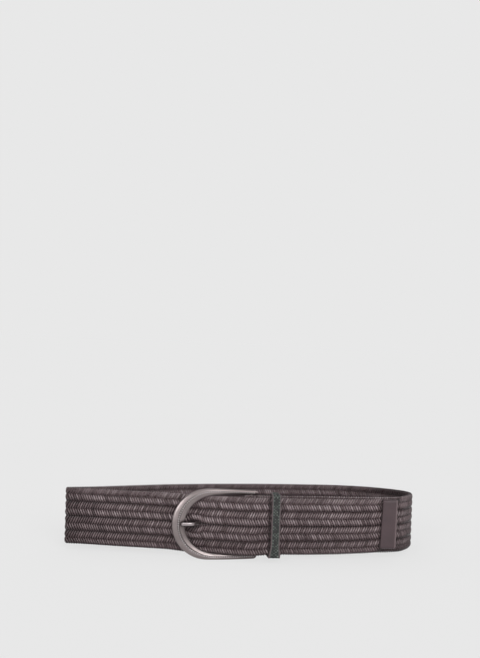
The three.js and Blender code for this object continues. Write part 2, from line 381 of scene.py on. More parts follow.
def mixed(nodes, links, kind, factor, a, b):
    """Mix of colour a with b. The factor and b are each a socket or a fixed value."""
    node = nodes.new("ShaderNodeMix")
    node.data_type = "RGBA"
    node.blend_type = kind
    if isinstance(factor, float):
        node.inputs["Factor"].default_value = factor
    else:
        links.new(factor, node.inputs["Factor"])
    links.new(a, node.inputs[MIX_A])
    if isinstance(b, tuple):
        node.inputs[MIX_B].default_value = b
    else:
        links.new(b, node.inputs[MIX_B])
    return node.outputs[MIX_RESULT]


def tone_value(nodes):
    """Tone stored on the mesh's points."""
    node = nodes.new("ShaderNodeAttribute")
    node.attribute_name = "tone"
    return node.outputs["Fac"]


def varied_roughness(nodes, links, shader, value, low, high):
    """Roughness between low and high by a value from 0 to 1."""
    node = nodes.new("ShaderNodeMapRange")
    node.inputs["To Min"].default_value = low
    node.inputs["To Max"].default_value = high
    links.new(value, node.inputs["Value"])
    links.new(node.outputs["Result"], shader.inputs["Roughness"])


def cord_material():
    mat, nodes, links, shader = material("waxed_cord")
    strand = ramp(nodes, links, tone_value(nodes), [
        (0.0, srgb(26, 16, 18)), (0.3, srgb(64, 50, 52)), (0.6, srgb(108, 93, 95)),
        (1.0, srgb(164, 151, 153)),
    ])
    coords = object_coordinates(nodes)
    patch = ramp(nodes, links, noise(nodes, links, 55, 3, coords), [
        (0.25, (0.91, 0.89, 0.89, 1)), (0.75, grey(0.98)),
    ])
    links.new(mixed(nodes, links, "MULTIPLY", 1.0, strand, patch), shader.inputs["Base Color"])
    shader.inputs["Specular IOR Level"].default_value = 0.4
    varied_roughness(nodes, links, shader, noise(nodes, links, 900, 2, coords), 0.2, 0.38)
    bump(nodes, links, shader, noise(nodes, links, 2600, 2, coords), 0.35, 0.00025)
    return mat


def core_material():
    mat, nodes, links, shader = material("cord_shadow")
    coords = object_coordinates(nodes)
    colour = ramp(nodes, links, noise(nodes, links, 1200, 2, coords), [
        (0.3, srgb(16, 10, 11)), (0.7, srgb(30, 21, 23)),
    ])
    links.new(colour, shader.inputs["Base Color"])
    shader.inputs["Roughness"].default_value = 0.9
    return mat


def metal_material(name, deep, pale):
    mat, nodes, links, shader = material(name)
    coords = object_coordinates(nodes)
    colour = ramp(nodes, links, noise(nodes, links, 180, 4, coords), [(0.3, deep), (0.7, pale)])
    # Tone darkens the metal: patina and painted shade on the frame
    patina_and_painted_shade = ramp(nodes, links, tone_value(nodes), [(0.0, (0.12, 0.1, 0.1, 1)), (1.0, grey(1))])
    links.new(mixed(nodes, links, "MULTIPLY", 1.0, colour, patina_and_painted_shade), shader.inputs["Base Color"])
    shader.inputs["Metallic"].default_value = 1.0
    varied_roughness(nodes, links, shader, noise(nodes, links, 900, 3, coords), 0.28, 0.4)
    bump(nodes, links, shader, noise(nodes, links, 3500, 2, coords), 0.12, 0.0001)
    return mat


def weave_material():
    mat, nodes, links, shader = material("keeper_weave")
    thread = ramp(nodes, links, tone_value(nodes), [
        (0.0, srgb(12, 14, 13)), (0.4, srgb(38, 43, 40)), (0.9, srgb(142, 151, 143)),
        (1.0, srgb(84, 71, 73)),
    ])
    coords = object_coordinates(nodes)
    patch = ramp(nodes, links, noise(nodes, links, 1500, 2, coords), [
        (0.3, grey(0.7)), (0.7, grey(1)),
    ])
    links.new(mixed(nodes, links, "MULTIPLY", 1.0, thread, patch), shader.inputs["Base Color"])
    shader.inputs["Roughness"].default_value = 0.62
    bump(nodes, links, shader, noise(nodes, links, 4000, 1, coords), 0.3, 0.0001)
    return mat


def leather_material():
    mat, nodes, links, shader = material("plum_leather")
    coords = object_coordinates(nodes)
    colour = ramp(nodes, links, noise(nodes, links, 70, 4, coords), [
        (0.3, srgb(55, 40, 43)), (0.55, srgb(61, 44, 48)), (0.8, srgb(64, 49, 51)),
    ])
    # Paler colour where the tone is set: painted highlight on the cap's closed end
    colour = mixed(nodes, links, "MIX", tone_value(nodes), colour, srgb(104, 88, 90))
    links.new(colour, shader.inputs["Base Color"])
    varied_roughness(nodes, links, shader, noise(nodes, links, 300, 3, coords), 0.38, 0.52)
    cells = nodes.new("ShaderNodeTexVoronoi")
    cells.inputs["Scale"].default_value = 1500
    links.new(coords, cells.inputs["Vector"])
    bump(nodes, links, shader, cells.outputs["Distance"], 0.25, 0.00015)
    return mat


# Braid
def row_heights():
    """Middle and height of each row of stitches, from the top."""
    edge = (STRAP_WIDTH - (RIBS - 2) * INNER_RIB) / 2
    heights = [edge] + [INNER_RIB] * (RIBS - 2) + [edge]
    top = STRAP_WIDTH
    rows = []
    for height in heights:
        rows.append((top - height / 2, height))
        top -= height
    return rows


# One stitch is a strand's visible run across a rib: its pitch, size, section, and places along it
STITCH_PITCH = 2.25
STITCH_RUN = 3.1
STITCH_HALF_WIDTH = 0.88
STITCH_HALF_THICK = 0.95
STITCH_OVERLAP = 1.05
STITCH_LIFT = 0.1
STITCH_TAPER = 0.25
STITCH_VARIES = 0.03
EDGE_MARGIN = 0.5
SECTION = [(1, -0.1), (0.78, 0.62), (0, 1), (-0.78, 0.62), (-1, -0.1), (0, -0.7)]
STATIONS = np.array([-0.5, -0.42, -0.24, 0.0, 0.24, 0.42, 0.5])
ALONG = STATIONS[None, :]
ARCH = np.sqrt(np.cos(math.pi * ALONG * 0.99))
GROOVE_DEPTH = -0.3
GROOVE_SHALLOW = 0.15

# Tone of the cord: painted highlight and shade round a stitch, painted shade and light over the strap's
# height, painted shade at the grooves, painted light on each stitch's upper half, and random tone in the
# dye
SECTION_TONE = np.array([0.25, 0.75, 1.0, 0.75, 0.25, 0.0])
# Painted shade toward the strap's bottom, and painted light on its top edge with painted shade just
# below
TONE_HEIGHT = (0.5, 2, 5, 9, 16, 26, 36, 44, 48.2, 49.5)
HEIGHT_TONE = (0.55, 0.74, 0.79, 0.86, 0.89, 0.97, 0.98, 1.02, 0.87, 1.15)
DEEP_TONE = 0.1
SHALLOW_TONE = 0.35
EDGE_TONE = 0.55
UPRIGHT_TOP_LIGHT = 0.45
BACKWARD_TOP_LIGHT = 0.9
DYE_MEAN = 0.78
DYE_VARIES = 0.12
INSIDE_SHADED_TONE = 0.78
SECOND_ROW_LIT_TONE = 1.15
CALM_LEFT = 24
CALM_RIGHT = 38
CALM_TONE = 0.72
CALM_SHARE = 0.45
CALM_GROOVE = 0.4

# Darker parts of the cord, all painted shade: share of tone taken, middle from its place on the strap,
# and reach
LEFT_BEND = (0.32, 0, 16)
LEFT_SIDE = (0.08, 0, 90)
RIGHT_BEND = (0.42, 0, 42)
RIGHT_INSIDE = (0.25, 30, 55)
RIGHT_FOOT = (0.75, -45, 48)
PRONG_HOLE = (0.55, -3, 7)
KEEPER_EDGE = (0.75, 0.3, 1.1)
HOLE_Z = PRONG_Z - 1.5
SPOT_HEIGHT = 4

# Painted shade and painted light that begin at a border: share of tone, border and reach past it
CAP_EDGE = (0.75, LENGTH - CAP_SHIFT - CAP_LENGTH - 1.4, 1.4)
UNDER_STRAP = (0.6, 45, 2)
UNDER_TOP = 49.4
UNDER_SPAN = (FOLD + 6, RIGHT_TURN - 48)
RIM_LIGHT = (0.5, 48.3, 0.8)
RIM_SPAN = (FOLD + 45, FOLD + 85, RIGHT_TURN - 22, RIGHT_TURN + 8)


def dark(spot, away, power=4):
    """Share of tone that a part of painted shade takes, by the distance from its place on the strap."""
    share, middle, reach = spot
    return share * fade(away - middle, reach, power)


def rising(step, value):
    """Nothing below the border, rising to the full share at its reach past it."""
    share, border, reach = step
    return share * np.clip((value - border) / reach, 0, 1)


def under_shade(s, z):
    """Painted shade on the upper part of the under strap, behind the tail."""
    behind = (s > UNDER_SPAN[0]) & (s < UNDER_SPAN[1])
    return behind * rising(UNDER_STRAP, z) * np.clip(UNDER_TOP - z, 0, 1)


def rim_light(s, z):
    """Paler upper rim of the under strap, from the keeper to the right end: painted light."""
    return 1 + np.interp(s, RIM_SPAN, (0, 1, 1, 0)) * rising(RIM_LIGHT, z)


def painted_shade_and_light(s, z, face):
    """Tone left by painted shade on the cord: ends of the loop, inside face, foot under the cap, hole,
    cap's mouth, keeper's side; and painted light on the under strap's rim.
    """
    left = dark(LEFT_BEND, s - LEFT_TURN, 2) + dark(LEFT_SIDE, s - LEFT_TURN)
    right = dark(RIGHT_BEND, s - RIGHT_TURN)
    foot = dark(RIGHT_FOOT, s - RIGHT_TURN) * fade(z, SPOT_HEIGHT, 2)
    hole = dark(PRONG_HOLE, s - OUTER_HOLE, 2) * fade(z - HOLE_Z, SPOT_HEIGHT, 2)
    mouth = rising(CAP_EDGE, s + CAP_LEAN * (0.5 - z / STRAP_WIDTH))
    beside = dark(KEEPER_EDGE, s - KEEPER_SIDE + z / STRAP_WIDTH)
    kept = (1 - hole) * (1 - mouth) * (1 - beside) * rim_light(s, z)
    # Outside: painted shade on the under strap behind the tail. Inside: painted shade near the right
    # bend and over the whole face
    if face > 0:
        foot = foot + (1 - foot) * under_shade(s, z)
    else:
        right = right + dark(RIGHT_INSIDE, s - RIGHT_TURN)
        kept = kept * INSIDE_SHADED_TONE
    return kept * (1 - left - right) * (1 - foot)


def groove_floor(row, t, deep, shallow, edge):
    """Value at the ends of a stitch: every second groove between rows is the deep one."""
    upper = shallow if row % 2 else deep
    lower = deep if row % 2 else shallow
    if row == 0:
        upper = edge
    return np.where(t > 0, upper, lower)


def stitch_starts(row, forward, start, stop):
    """Distances of one row's stitches, so that strands run on from row to row."""
    phase = -row * STITCH_RUN if forward else (row + 1) * STITCH_RUN
    count = int((stop - start) / STITCH_PITCH) + 2
    first = math.floor((start - phase) / STITCH_PITCH)
    s = phase + (first + np.arange(count)) * STITCH_PITCH
    return s[(s >= start) & (s < stop)]


def stitch_shape(centre, normal, fat):
    """Corner points of one row's stitches round their middle lines."""
    run = np.gradient(centre, STATIONS, axis=1)
    run /= np.linalg.norm(run, axis=2)[..., None]
    across = np.cross(run, normal)
    across /= np.linalg.norm(across, axis=2)[..., None]
    up = np.cross(across, run)
    up *= np.sign(np.sum(up * normal, axis=2))[..., None]
    taper = (1 - STITCH_TAPER * np.abs(2 * ALONG) ** 3) * fat[:, None]
    points = [
        centre + across * (a * STITCH_HALF_WIDTH * taper)[..., None]
        + up * (b * STITCH_HALF_THICK * taper)[..., None]
        for a, b in SECTION
    ]
    return np.stack(points, 2).reshape(len(centre), -1, 3)


def stitch_tone(s, z, row, face, dye):
    """Tone at the corner points of one row's stitches, with painted highlight and shade, calmer at the
    loop's two ends.
    """
    calm = fade(s - LEFT_TURN, CALM_LEFT) + fade(s - RIGHT_TURN, CALM_RIGHT)
    # Painted shade at both ends of each stitch, in the grooves
    dim = groove_floor(row, ALONG, DEEP_TONE, SHALLOW_TONE + CALM_GROOVE * calm, EDGE_TONE)
    # Painted light on each stitch's upper half and painted shade on its lower half
    lean = BACKWARD_TOP_LIGHT if row % 2 else UPRIGHT_TOP_LIGHT
    # Painted shade and light along the strap and over its height
    shade = dye * painted_shade_and_light(s, z, face) * np.interp(z, TONE_HEIGHT, HEIGHT_TONE)
    shade = shade * (dim + (1 - dim) * ARCH**2) * (1 + lean * ALONG)
    # Painted highlight on the inside's second row
    if face < 0 and row == 1:
        shade = shade * SECOND_ROW_LIT_TONE
    # Painted highlight along each stitch's middle, painted shade on its sides
    section = SECTION_TONE + CALM_SHARE * calm[..., None] * (CALM_TONE - SECTION_TONE)
    return (shade[..., None] * section).reshape(len(s), -1)


def stitches(face, start, stop):
    """Corner points and tone of every stitch on one face between two distances."""
    blocks, tones = [], []
    for row, (middle, height) in enumerate(row_heights()):
        slant = face * (1 if row % 2 == 0 else -1)
        starts = stitch_starts(row, slant > 0, start, stop)
        n = len(starts)
        jitter, fat, rise = (rng.normal(mean, STITCH_VARIES, n) for mean in (0, 1, 0))
        s = starts[:, None] + jitter[:, None] + slant * ALONG * STITCH_RUN * STITCH_OVERLAP
        z = middle + ALONG * height * STITCH_OVERLAP + 0 * s
        z = np.clip(z, EDGE_MARGIN, STRAP_WIDTH - EDGE_MARGIN)
        crest = STRAP_THICK / 2 - STITCH_HALF_THICK + STITCH_LIFT + rise[:, None]
        bottom = groove_floor(row, ALONG, GROOVE_DEPTH, GROOVE_SHALLOW, GROOVE_DEPTH)
        depth = face * (bottom + (crest - bottom) * ARCH) + 0 * s
        centre = braid_place(s, z, depth, face)
        _, side = belt_line.at(s)
        blocks.append(stitch_shape(centre, side * face, fat))
        dye = np.clip(rng.normal(DYE_MEAN, DYE_VARIES, n), 0, 1)[:, None]
        tones.append(stitch_tone(s, z, row, face, dye))
    return np.vstack(blocks), np.vstack(tones)


def stitch_quads(count):
    """Side faces and the two closed ends of one stitch."""
    ring = len(SECTION)
    rings = len(STATIONS)
    quads = ring_faces(rings, ring)
    last = (rings - 1) * ring
    for base in (0, last):
        quads += [(base, base + 1, base + 2, base + 5), (base + 2, base + 3, base + 4, base + 5)]
    one = np.array(quads)
    return (one[None] + (np.arange(count) * ring * rings)[:, None, None]).reshape(-1, 4)


# Where the stitches begin and end, and the two strips inside: ends, step, half thickness, heights
BRAID_START = 2.2
BRAID_END = 6.5
CORE_START = 0.8
CORE_END = 4.5
CORE_STEP = 1.6
CORE_HALF = 0.55
CORE_HEIGHTS = {"upper": (25.1, 28, 32, 38, 44, 49.0), "lower": (24.9, 22, 18, 12, 6, 1.0)}


def make_braid(cord):
    start, stop = BRAID_START, LENGTH - BRAID_END
    half = (start + stop) / 2
    for face, word in ((1, "outside"), (-1, "inside")):
        for part, (a, b) in enumerate(((start, half), (half, stop)), 1):
            points, tones = stitches(face, a, b)
            verts = to_row(points.reshape(-1, 3))
            obj = fast_mesh(f"braid_{word}_{part}", verts, stitch_quads(len(points)), tones.ravel())
            outward(obj)
            finish_piece(obj, cord, "braid_cord", "strap")


def make_core(mat):
    """Two thin dark strips inside the braid that close the view between its strands; their dark colour
    is painted shade.
    """
    s = np.concatenate([np.arange(CORE_START, LENGTH - CORE_END, CORE_STEP), [LENGTH - CORE_END]])
    for word, heights in CORE_HEIGHTS.items():
        loop = [(z, CORE_HALF) for z in heights] + [(z, -CORE_HALF) for z in reversed(heights)]
        rings = np.stack([
            braid_place(s, np.full_like(s, z), np.full_like(s, n), 1 if n > 0 else -1) for z, n in loop
        ], 1)
        count = len(loop)
        faces = ring_faces(len(s), count)
        for base in (0, (len(s) - 1) * count):
            faces += [
                (base + i, base + i + 1, base + count - 2 - i, base + count - 1 - i)
                for i in range(len(heights) - 1)
            ]
        obj = new_mesh(f"braid_core_{word}", to_row(rings.reshape(-1, 3)), faces)
        outward(obj)
        finish_piece(obj, mat, "braid_cord", "strap")


# Buckle
def plane_point(u, v, w):
    """Buckle plane to the level frame: u from the arc toward the bar, v up, w toward the viewer."""
    c = 1 / math.hypot(1, FRAME_SLOPE)
    d = c * FRAME_SLOPE
    along = u + BAR_FROM_TIP - FRAME_LENGTH
    return np.stack([
        BAR[0] + along * c + w * d, BAR[1] + along * d - w * c, BUCKLE_Z + v + 0 * u,
    ], -1)


def resample(points, count):
    s = distances(points)
    return read_at(np.linspace(0, s[-1], count), s, points)


# Frame: points of each outline, ends of the arms, and how the arms narrow toward the bar
EDGE_POINTS = 150
TIP_ANGLES = (82, 66, 48, 30, 14)
TAPER_FROM = 38
TAPER_REACH = 36
TAPER_CURVE = 1.5


def horseshoe_edges():
    """Matching points on the outer and inner outline, from the lower arm's tip to the upper's."""
    tip = (OUTER_HALF - INNER_HALF) / 2
    middle = (OUTER_HALF + INNER_HALF) / 2
    arm_end = FRAME_LENGTH - tip
    turn = np.linspace(-math.pi / 2, math.pi / 2, 200)

    def outline(arc, half, start):
        bow = np.stack([start + arc - arc * np.cos(turn), half * np.sin(turn)], -1)
        return resample(np.vstack([[(arm_end, -half)], bow, [(arm_end, half)]]), EDGE_POINTS)

    def closed(points, sign):
        angles = np.radians(TIP_ANGLES)
        low = np.stack([arm_end + tip * np.sin(angles), sign * tip * np.cos(angles) - middle], -1)
        return np.vstack([low, points, low[::-1] * (1, -1)])

    outer = closed(outline(OUTER_ARC, OUTER_HALF, 0), -1)
    inner = closed(outline(INNER_ARC, INNER_HALF, ARC_WIDTH), 1)
    outer[:, 1] *= 1 - ARM_TAPER * np.clip((outer[:, 0] - TAPER_FROM) / TAPER_REACH, 0, 1) ** TAPER_CURVE
    return outer, inner


# Section of the frame: share of the way from the outer to the inner outline, and height
FRAME_SECTION = [
    (0.0, -0.7), (0.01, -0.25), (0.05, 0.1), (0.12, 0.42), (0.22, 0.8), (0.33, 1.1), (0.4, 1.27),
    (0.425, 1.14), (0.49, 1.0), (0.555, 1.14), (0.58, 1.27), (0.65, 1.15), (0.76, 0.86), (0.86, 0.52),
    (0.93, 0.17), (0.985, -0.25), (1.0, -0.7), (0.97, -1.25), (0.88, -1.5), (0.12, -1.5), (0.03, -1.25),
]
RIDGE = 0.49
RIDGE_HEIGHT = 1.27
CHANNEL_HALF = 0.07
TOP_SIDE = -0.3


def frame_rings(outer, inner):
    """Section points all along the frame. Where the frame is narrow, its top is flatter."""
    narrow = np.clip(1 - np.linalg.norm(inner - outer, axis=1) / ARC_WIDTH, 0, 1)
    rings = []
    for share, height in FRAME_SECTION:
        uv = outer + (inner - outer) * share
        if height > TOP_SIDE:
            height = height + np.clip(RIDGE_HEIGHT - height, 0, 1.5) * narrow
        rings.append(plane_point(uv[:, 0], uv[:, 1], height))
    return np.stack(rings, 1)


# Darker parts of the frame, as for the cord: patina in the channel, painted shade in a ring round the
# prong's tip, darker toward the lower arm's end, painted shade toward the upper arm's end and on the
# lower bevel
CHANNEL_DARK = 0.95
PRONG_TIP_SHADE = (0.9, 0, 2.8)
LOW_ARM = (0.6, 42, 24)
HIGH_ARM = (0.6, 36, 24)
LOW_BEVEL = (0.4, -33, 10)


def frame_tone(outer, inner):
    """Tone left on the frame at every point of its section, all along it, with patina and painted shade.
    """
    share, height = np.array(FRAME_SECTION).T
    uv = outer[:, None] * (1 - share[:, None]) + inner[:, None] * share[:, None]
    u, v = uv[..., 0], uv[..., 1]
    channel = CHANNEL_DARK * ((np.abs(share - RIDGE) < CHANNEL_HALF) & (height > 0))
    tip_shade = dark(PRONG_TIP_SHADE, np.hypot(u - PRONG_TIP, v - (PRONG_Z - BUCKLE_Z)))
    arms = rising(LOW_ARM, u) * (v < 0) + rising(HIGH_ARM, u) * (v > 0)
    bevel = rising(LOW_BEVEL, -u) * (v < 0) * (share > RIDGE)
    return (1 - channel) * (1 - tip_shade) * (1 - arms) * (1 - bevel)


def make_buckle(metal, milled):
    outer, inner = horseshoe_edges()
    verts = list(to_row(frame_rings(outer, inner).reshape(-1, 3)))
    faces = tube_faces(len(outer), len(FRAME_SECTION))
    tone = frame_tone(outer, inner).ravel()
    add_bar(verts, faces)
    obj = new_mesh("buckle_metal", verts, faces)
    add_tone(obj, np.append(tone, np.ones(len(verts) - len(tone))))
    outward(obj)
    finish_piece(obj, metal, "buckle_metal", "buckle_frame")
    make_milled_line(milled, outer, inner)


# Bar: distance from its middle and radius, up to one end, with a step near it
BAR_REACH = INNER_HALF + 0.9
BAR_STEPS = [(BAR_REACH - 4.4, 1.8), (BAR_REACH - 3.2, 1.2), (BAR_REACH, 1.2)]
BAR_SIDES = 28


def round_bar(turn, radius, z):
    """Point round the bar's axis, where turn goes from 0 to 1."""
    a = 2 * math.pi * turn
    return to_row([BAR[0] + radius * math.cos(a), BAR[1] + radius * math.sin(a), z])


def add_bar(verts, faces):
    """Bar between the two arms, stepped at both ends."""
    stations = [(-z, r) for z, r in reversed(BAR_STEPS)] + BAR_STEPS
    faces += tube_faces(len(stations), BAR_SIDES, len(verts))
    for z, r in stations:
        verts += [round_bar(k / BAR_SIDES, r, BUCKLE_Z + z) for k in range(BAR_SIDES)]


# Milled line: beads across the channel, and half their size along, across and out of it
MILL_PITCH = 2.0
MILL_MARGIN = 2.5
BEAD_HEIGHT = 1.05
BEAD_ALONG = 0.55
BEAD_ACROSS = 0.5
BEAD_SHARE = 0.075
BEAD_OUT = 0.45


def make_milled_line(milled, outer, inner):
    """Row of small rounded bars across the channel on the frame's ridge, in a paler metal that paints
    their highlight.
    """
    middle = outer + (inner - outer) * RIDGE
    s = distances(middle)
    places = np.arange(MILL_MARGIN, s[-1] - MILL_MARGIN, MILL_PITCH)
    u, v = read_at(places, s, middle).T
    wide = np.interp(places, s, np.linalg.norm(inner - outer, axis=1))
    centres = to_row(plane_point(u, v, BEAD_HEIGHT))
    face = (to_row(plane_point(u, v, BEAD_HEIGHT + 1)) - centres)[0]
    face /= np.linalg.norm(face)
    along = np.gradient(centres, axis=0)
    along /= np.linalg.norm(along, axis=1)[:, None]
    across = np.cross(face, along) * np.maximum(BEAD_SHARE * wide, BEAD_ACROSS)[:, None]
    out = np.broadcast_to(face * BEAD_OUT, along.shape)
    ball = bmesh.new()
    bmesh.ops.create_icosphere(ball, subdivisions=1, radius=0.001)
    shape = np.array([vert.co for vert in ball.verts])
    corners = [[vert.index for vert in f.verts] for f in ball.faces]
    ball.free()
    verts = centres[:, None] + shape @ np.stack([along * BEAD_ALONG, across, out], 1)
    faces = [[k + i * len(shape) for k in f] for i in range(len(centres)) for f in corners]
    obj = new_mesh("buckle_milled_line", verts.reshape(-1, 3), faces)
    add_tone(obj, np.ones(len(obj.data.vertices)))
    outward(obj)
    finish_piece(obj, milled, "buckle_metal", "buckle_frame")


# Prong
# Shank: half thickness and width, squareness and sides of its section, and its rounded point
PRONG_HALF_THICK = 1.0
PRONG_HALF_WIDTH = 1.6
PRONG_SQUARE = 0.85
PRONG_SIDES = 20
POINT_LENGTH = 1.2
POINT_HEIGHT = 0.35

# Ring round the bar: radius and height of its section, for the upper half
EYE_SECTION = [(2.2, 1.6), (2.45, 1.9), (3.5, 1.9), (3.75, 1.6)]
EYE_TURNS = 40


def squarish(value):
    return math.copysign(abs(value) ** PRONG_SQUARE, value)


def make_prong(metal):
    """Bent shank with a rounded point, and its ring."""
    line = Line([(x, y, PRONG_Z) for x, y in PRONG_LINE], 12)
    shank = line.length - POINT_LENGTH
    s = np.append(np.linspace(0, shank, 60), shank + POINT_LENGTH * np.sin(np.linspace(0.2, 1.45, 7)))
    past = np.clip(s - shank, 0, None) / POINT_LENGTH
    shrink = np.sqrt(np.clip(1 - past**2, 0.01, 1))
    tall = PRONG_HALF_WIDTH * (POINT_HEIGHT + (1 - POINT_HEIGHT) * shrink)
    middle, side = line.at(s)
    rings = []
    for angle in np.linspace(0, 2 * math.pi, PRONG_SIDES, endpoint=False):
        place = middle + side * (PRONG_HALF_THICK * squarish(math.cos(angle)) * shrink)[:, None]
        place[:, 2] += tall * squarish(math.sin(angle))
        rings.append(place)
    verts = list(to_row(np.stack(rings, 1).reshape(-1, 3)))
    faces = tube_faces(len(s), PRONG_SIDES)
    add_eye(verts, faces)
    obj = new_mesh("prong_metal", verts, faces)
    add_tone(obj, np.ones(len(verts)))
    outward(obj)
    finish_piece(obj, metal, "prong_metal", "prong")


def add_eye(verts, faces):
    """Ring of the prong round the bar."""
    section = EYE_SECTION + [(r, -z) for r, z in reversed(EYE_SECTION)]
    faces += ring_faces(EYE_TURNS, len(section), closed=True, base=len(verts))
    for k in range(EYE_TURNS):
        verts += [round_bar(k / EYE_TURNS, r, PRONG_Z + z) for r, z in section]


# Keeper
# Closed band: wall, corner, depth, height, points round it, and places across it from edge to edge
KEEPER_WALL = 1.4
KEEPER_CORNER = 1.9
KEEPER_DEPTH = KEEPER_BACK - KEEPER_FRONT
KEEPER_HEIGHT = KEEPER_TOP - KEEPER_BOTTOM
KEEPER_POINTS = 800
BAND = np.linspace(-1, 1, 45)

# Weave: cells round and across the band, rise and tone of the threads, and the two plain rims
CELLS_ROUND = 100
CELLS_ACROSS = 6
THREAD_RISE = 0.26
DARK_RISE = 0.2
DARK_THREAD = 0.02
PALE_THREAD = 0.93
WEAKEST_DYE = 0.35
RIM_RISE = 0.28
RIM_START = 0.72
RIM = np.clip((np.abs(BAND) - RIM_START) / (1 - RIM_START), 0, 1)

# Shape of the band after long use: rounded edges, wider foot, lean, narrower back, and a painted
# highlight on the front's fold
ROUNDED_FROM = 0.9
FOOT_HEIGHT = 11
FOOT_REACH = 9
FOOT_LEFT = 1.5
FOOT_RIGHT = 0.9
BAND_LEAN = 0.2
BACK_NARROWER = 0.22
FOLD_DEPTH = 1.6
FOLD_BAND = 0.6
FOLD_PAINTED_HIGHLIGHT = 0.5


def loop_outline(width, height, corner, count):
    """Evenly spaced points round a rounded rectangle, with outward directions."""
    x, y = width / 2 - corner, height / 2 - corner
    points, normals = [], []
    for cx, cy, start in ((x, y, 0), (-x, y, 90), (-x, -y, 180), (x, -y, 270)):
        for a in np.radians(np.linspace(start, start + 90, 24)):
            points.append((cx + corner * math.cos(a), cy + corner * math.sin(a)))
            normals.append((math.cos(a), math.sin(a)))
    points, normals = np.array(points + points[:1]), np.array(normals + normals[:1])
    s = distances(points)
    t = np.arange(count) / count * s[-1]
    out = read_at(t, s, normals)
    return read_at(t, s, points), out / np.linalg.norm(out, axis=1)[:, None]


def weave():
    """Rise and tone of the band's face: a check of pale threads between two plain rims."""
    u = (CELLS_ROUND * (np.arange(KEEPER_POINTS) / KEEPER_POINTS))[:, None]
    v = CELLS_ACROSS * (BAND + 1) / 2
    pillow = np.abs(np.sin(math.pi * u)) * np.abs(np.sin(math.pi * v))
    column, line = np.floor(u), np.floor(v * 0.999)
    pale = (column + line) % 2
    dye = rng.uniform(WEAKEST_DYE, 1, CELLS_ROUND * CELLS_ACROSS)
    dye = dye[(column * CELLS_ACROSS + line).astype(int)]
    rise = THREAD_RISE * pillow * (DARK_RISE + (1 - DARK_RISE) * pale) * (RIM == 0)
    tone = np.where(RIM > 0, 1.0, DARK_THREAD + PALE_THREAD * pillow**0.6 * pale * dye)
    return rise + RIM_RISE * np.sin(math.pi * RIM), tone


def band_face(side, rise):
    """One face of the band, outer for side 1 and inner for -1, about its own middle."""
    place, out = loop_outline(
        KEEPER_DEPTH - KEEPER_WALL, KEEPER_HEIGHT - KEEPER_WALL, KEEPER_CORNER, KEEPER_POINTS
    )
    past = np.clip((np.abs(BAND) - ROUNDED_FROM) / (1 - ROUNDED_FROM), 0, 1)
    n = side * KEEPER_WALL / 2 * np.sqrt(np.clip(1 - past**2, 0.02, 1)) + rise
    y = place[:, :1] + out[:, :1] * n
    z = place[:, 1:] + out[:, 1:] * n
    foot = np.clip((FOOT_HEIGHT - KEEPER_HEIGHT / 2 - z) / FOOT_REACH, 0, 1)
    foot = foot * foot * (3 - 2 * foot)
    x = BAND * KEEPER_LENGTH / 2 + foot * np.where(BAND < 0, FOOT_LEFT, FOOT_RIGHT) * BAND
    x = x - BAND_LEAN * (0.5 - z / KEEPER_HEIGHT)
    behind = np.clip(z / KEEPER_HEIGHT, 0, 0.5) * np.clip(1 - 2 * y / KEEPER_DEPTH, 0, 2)
    return np.stack([x * (1 - BACK_NARROWER * behind), -y, z + KEEPER_RISE * behind], -1)


def make_keeper(mat):
    """Closed woven band, with a thin painted highlight along the fold at the top of its front."""
    rise, tone = weave()
    outer, inner = band_face(1, rise), band_face(-1, 0 * rise)
    front = (outer[..., 1] < FOLD_DEPTH - KEEPER_DEPTH / 2) & (RIM == 0)
    # Painted highlight along the fold at the top of the front
    fold = fade(outer[..., 2] - KEEPER_HEIGHT / 2 + FOLD_BAND, FOLD_BAND, 2) * front
    tones = np.concatenate([tone * (1 - fold) + FOLD_PAINTED_HIGHLIGHT * fold, tone[:, ::-1]], axis=1)
    x, y, z = np.concatenate([outer, inner[:, ::-1]], axis=1).reshape(-1, 3).T
    c = 1 / math.hypot(1, KEEPER_SLOPE)
    d = c * KEEPER_SLOPE
    verts = np.stack([
        x * c - y * d + KEEPER_X, x * d + y * c + (KEEPER_FRONT + KEEPER_BACK) / 2,
        z + (KEEPER_TOP + KEEPER_BOTTOM) / 2,
    ], -1)
    quads = np.array(ring_faces(KEEPER_POINTS, tones.shape[1], closed=True))
    obj = fast_mesh("keeper_band", to_row(verts), quads, tones.ravel())
    outward(obj)
    finish_piece(obj, mat, "keeper_weave", "keeper")


# Tip cap
# Outline, mouth, pocket inside for the tail's end, lean and shift of the closed end, and the painted
# highlight on its edge
CAP_CORNER = 1.7
CAP_POINTS = 120
CAP_MOUTH = 1.35 - CAP_LENGTH
POCKET_SIZE = (CAP_THICK - 2.2, CAP_HEIGHT - 2.4)
POCKET_CORNER = 0.4
POCKET = (-1.0, CAP_MOUTH + 1.2)
END_LEAN = 0.4
END_SHIFT = 0.4
END_PAINTED_HIGHLIGHT = 0.8

# Distance from the tail's end and growth of the outline, from the mouth's lip to the closed end
CAP_STATIONS = [
    (CAP_MOUTH + 1.2, -1.0), (CAP_MOUTH, -0.95), (CAP_MOUTH, -0.55), (CAP_MOUTH + 0.12, -0.18),
    (CAP_MOUTH + 0.5, 0.0), (-10, 0.0), (-8, 0.06), (-6, 0.1), (-4, 0.08), (-2.2, 0.0),
    (-0.9, -0.06), (-0.35, 0.0), (0.35, 0.02), (0.9, -0.1), (1.2, -0.45), (1.35, -1.0),
]


